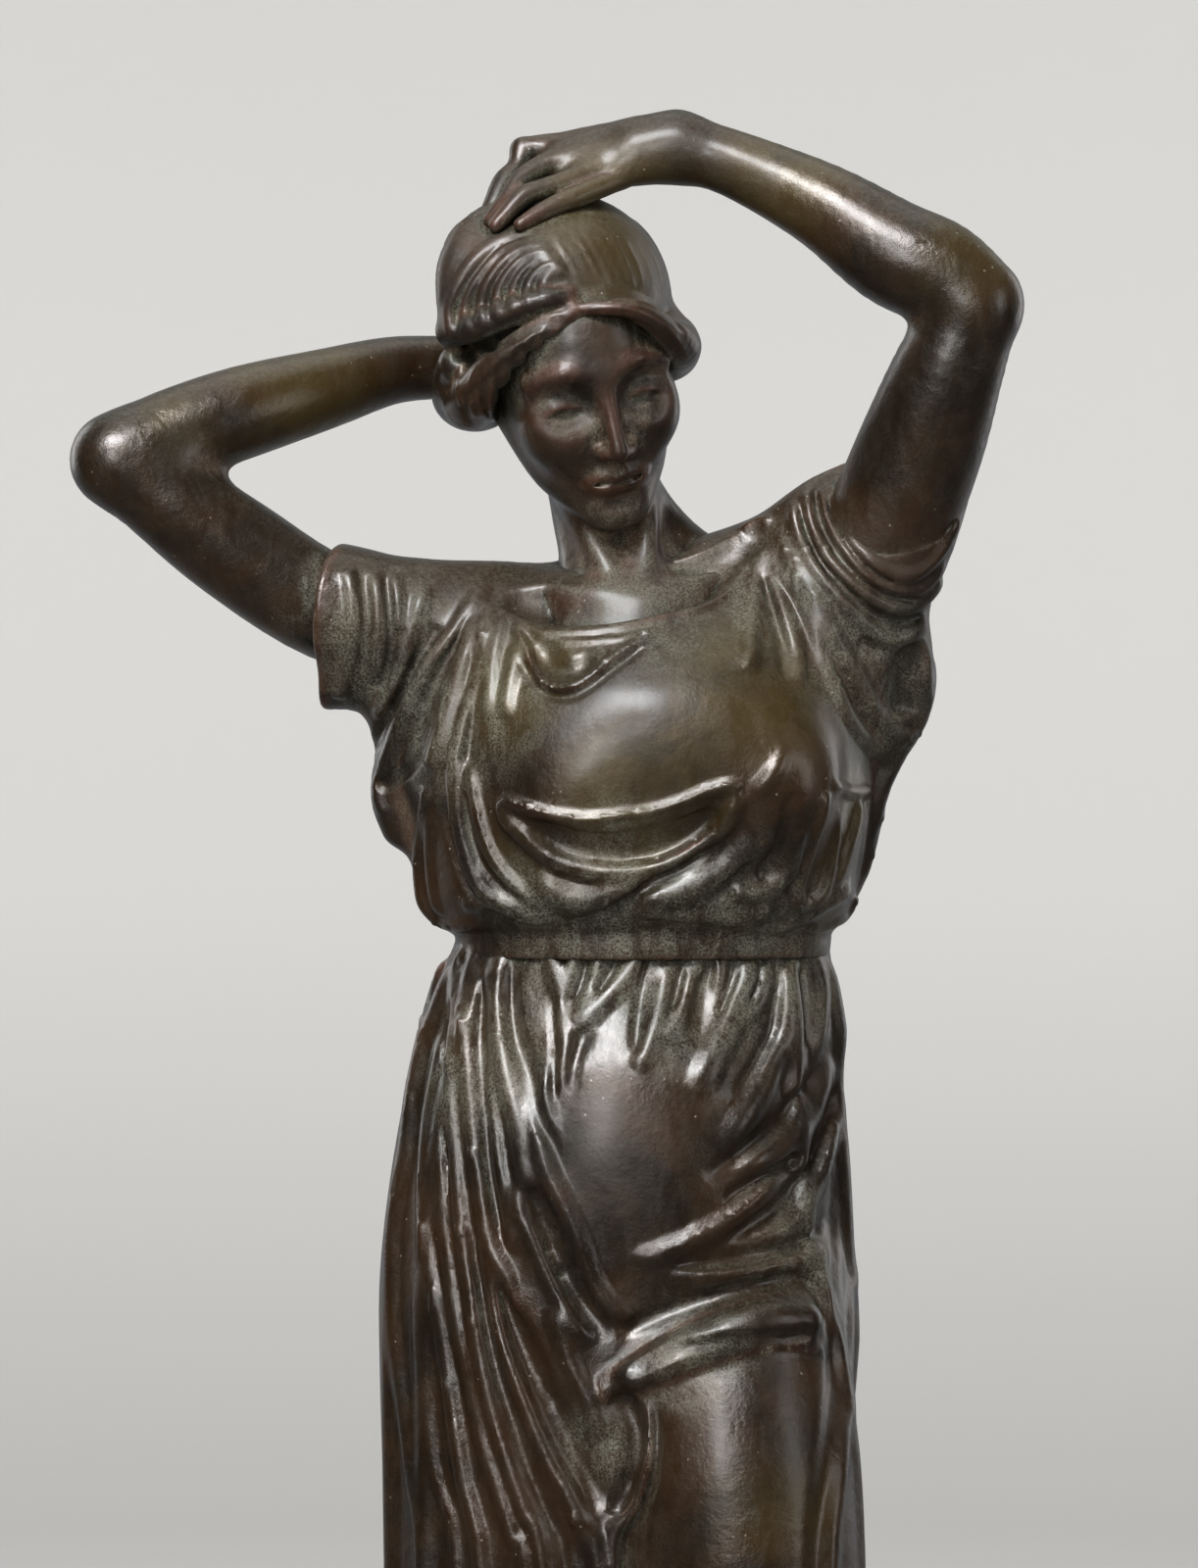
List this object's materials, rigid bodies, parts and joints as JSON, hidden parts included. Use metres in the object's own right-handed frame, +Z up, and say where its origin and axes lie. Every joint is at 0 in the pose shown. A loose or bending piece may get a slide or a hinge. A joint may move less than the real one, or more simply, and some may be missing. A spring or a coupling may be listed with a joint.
{
  "type": "bronze figure of a draped woman",
  "caption": "Standing cast figure of a woman in a belted, pleated dress with both arms raised to her hair, on a low round base.",
  "frame": {"origin": "centre of the flat underside of the round base", "axes": "+Z up; -Y towards the viewer the figure faces; +X to that viewer's right"},
  "size_m": [0.2409, 0.148, 0.5862],
  "materials": {
    "bronze": "dark brown patina, satin with rubbed glossy high points"
  },
  "bodies": {
    "root": {"figure": "bronze"}
  },
  "joints": []
}
